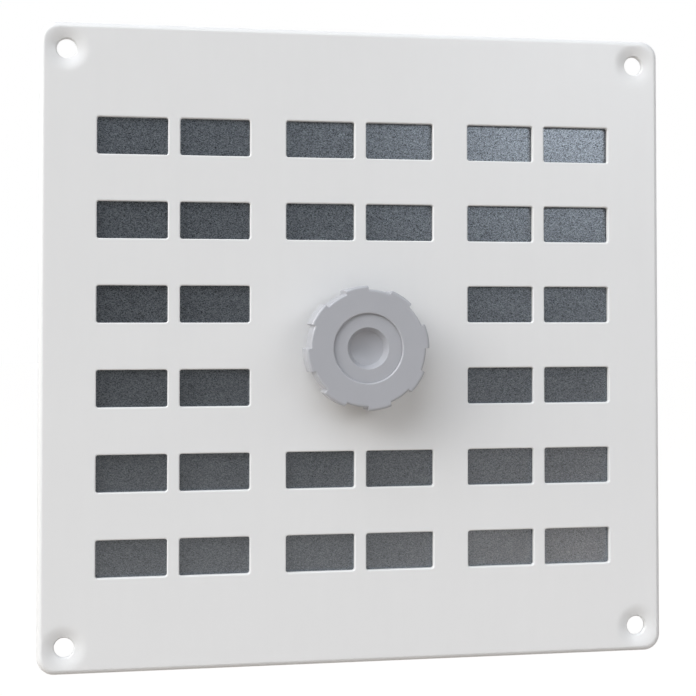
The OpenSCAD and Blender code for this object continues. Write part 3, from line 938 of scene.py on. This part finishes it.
def white_room(stage):
    """A world that is white behind the grille, and dim on the side of the room."""
    world = bpy.data.worlds.new("white_room")
    world.use_nodes = True
    tree = world.node_tree
    tree.nodes.clear()
    start = Socket(tree)
    path = start.node("ShaderNodeLightPath", output="Is Camera Ray")
    rays = path.socket.node.outputs
    direction = start.node("ShaderNodeTexCoord", output="Generated")
    parts = start.node("ShaderNodeSeparateXYZ", None, {0: direction}, "X").socket.node.outputs
    across, away, up = (Socket(tree, parts[axis]) for axis in "XYZ")
    behind = away.step(-0.35, 0.10)
    upper_left = up.step(0.20, 0.50) * (0.0 - across).step(-0.25, 0.25)
    # The side where the camera stands is darker than the rest of the room
    camera_side = (0.12, -0.99, 0.0)
    towards = start.node("ShaderNodeVectorMath", {"operation": "DOT_PRODUCT"}, {0: direction, 1: camera_side}, "Value")
    bright = upper_left * stage.sky + stage.room
    front = bright - towards.step(0.70, 0.93) * (bright - stage.dark)
    lit = front + behind * (stage.back - front)
    seen = path.math("MAXIMUM", Socket(tree, rays["Is Glossy Ray"]), Socket(tree, rays["Is Transmission Ray"]))
    mirrored = lit + seen * behind * (1.0 - stage.back)
    strength = path.math("MAXIMUM", path, mirrored)
    tint = start.node("ShaderNodeMixRGB", {"blend_type": "MIX"}, {0: path, 1: (0.94, 0.98, 1.04, 1), 2: (1, 1, 1, 1)})
    shaded = start.node("ShaderNodeBackground", None, {"Color": tint, "Strength": strength})
    start.node("ShaderNodeOutputWorld", None, {"Surface": shaded})
    bpy.context.scene.world = world


def pale_floor(stage):
    """A pale floor under the grille, white to the camera apart from its shadow."""
    drop = stage.floor_drop
    far, side = 6.0, 3.5
    # Its front edge runs aslant, farther forward on the right
    slant = 0.35
    left, right = -stage.floor_reach + slant * side, -stage.floor_reach - slant * side
    corners = [(-side, left, -drop), (side, right, -drop), (side, far, -drop), (-side, far, -drop)]
    mesh = bpy.data.meshes.new("floor")
    mesh.from_pydata(corners, [], [(0, 1, 2, 3)])
    floor = placed("floor", mesh)
    paint = Finish("pale_floor")
    mottle = paint.noise(60 * MM, detail=3)
    base = paint.tinted(stage.floor_colour, 1.0 + (mottle - 0.5) * 0.03)
    matt = paint.start.node("ShaderNodeBsdfDiffuse", None, {"Color": base})
    white = paint.start.node("ShaderNodeEmission", None, {"Color": (1, 1, 1, 1), "Strength": 1.12})
    camera_ray = paint.start.node("ShaderNodeLightPath", output="Is Camera Ray")
    mix = paint.start.node("ShaderNodeMixShader", None, {0: camera_ray * 0.85, 1: matt, 2: white})
    paint.start.node("ShaderNodeOutputMaterial", None, {"Surface": mix})
    mesh.materials.append(paint.material)


def photo_camera(stage):
    """The camera at the photograph's place: a little left of the middle, almost level. Its shift
    stands for the photograph's crop."""
    yaw, pitch, roll = (math.radians(a) for a in (-9.793, -1.448, -0.003))
    # Rows of the camera's axes on X right, Y down and Z away, as a surveyor writes them
    turn_yaw = Matrix(((math.cos(yaw), 0, math.sin(yaw)), (0, 1, 0), (-math.sin(yaw), 0, math.cos(yaw))))
    turn_pitch = Matrix(((1, 0, 0), (0, math.cos(pitch), -math.sin(pitch)), (0, math.sin(pitch), math.cos(pitch))))
    turn_roll = Matrix(((math.cos(roll), -math.sin(roll), 0), (math.sin(roll), math.cos(roll), 0), (0, 0, 1)))
    rows = turn_roll @ turn_pitch @ turn_yaw
    right, down, away = (Vector((row.x, row.z, -row.y)) for row in rows)
    data = bpy.data.cameras.new("photo_camera")
    data.lens = stage.focal
    data.sensor_width = 36
    data.shift_x, data.shift_y = 0.0076, -0.0963
    data.clip_start, data.clip_end = 0.01, 50
    camera = bpy.data.objects.new("photo_camera", data)
    axes = Matrix((right, -down, -away)).transposed().to_4x4()
    camera.matrix_world = Matrix.Translation((-66.86 * MM, FACE_FRONT - 360.08 * MM, 7.61 * MM)) @ axes
    bpy.context.scene.collection.objects.link(camera)
    bpy.context.scene.camera = camera


class GRILLE_OT_stage(bpy.types.Operator):
    """Makes the floor, the soft lights, the white room and the camera."""

    bl_idname = "grille.stage"
    bl_label = "Stage"

    def execute(self, context):
        stage = context.scene.grille_stage
        context.scene.view_settings.view_transform = "Standard"
        white_room(stage)
        pale_floor(stage)
        soft_light("key_light", -74, 30, 20, 12, stage.key, (1.03, 1.0, 0.95))
        soft_light("window_light", -74, 10, 16, 10, 0.5 * stage.key, (1.03, 1.0, 0.95))
        soft_light("side_light", 55, 28, 20, 14, stage.side)
        soft_light("high_panel", 26, 16, 9, 6, stage.high, (0.95, 1.0, 1.06))
        soft_light("left_panel", 0, 16, 11, 5, 0.09 * stage.high, (0.95, 1.0, 1.06))
        soft_light("low_panel", 27, -17.0, 8, 2.2, stage.low, (1.2, 0.965, 0.83), distance=0.75)
        photo_camera(stage)
        return {"FINISHED"}


class GRILLE_PT_panel(bpy.types.Panel):
    """Lists the sizes, the finishes and the pieces of the grille."""

    bl_idname = "GRILLE_PT_panel"
    bl_label = "Ventilation grille"
    bl_space_type = "VIEW_3D"
    bl_region_type = "UI"
    bl_category = "Grille"

    def draw(self, context):
        for group in GROUPS:
            settings = getattr(context.scene, group)
            for key in settings.__annotations__:
                self.layout.prop(settings, key)
        for operator in PIECES:
            self.layout.operator(operator.bl_idname)


GROUPS = {
    "grille_sheets": SheetSizes, "grille_knob": KnobSizes,
    "grille_finishes": Finishes, "grille_stage": StageSettings,
}
PIECES = (GRILLE_OT_face, GRILLE_OT_shutter, GRILLE_OT_hardware, GRILLE_OT_knob, GRILLE_OT_stage)


def register():
    for group in GROUPS.values():
        bpy.utils.register_class(group)
    for key, group in GROUPS.items():
        setattr(bpy.types.Scene, key, PointerProperty(type=group))
    for operator in PIECES:
        bpy.utils.register_class(operator)
    bpy.utils.register_class(GRILLE_PT_panel)


def unregister():
    bpy.utils.unregister_class(GRILLE_PT_panel)
    for operator in reversed(PIECES):
        bpy.utils.unregister_class(operator)
    for key, group in reversed(GROUPS.items()):
        delattr(bpy.types.Scene, key)
        bpy.utils.unregister_class(group)


def main():
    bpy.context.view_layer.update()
    register()
    bpy.ops.grille.stage()
    bpy.ops.grille.face()
    bpy.ops.grille.shutter()
    bpy.ops.grille.hardware()
    bpy.ops.grille.knob()


if __name__ == "__main__":
    main()
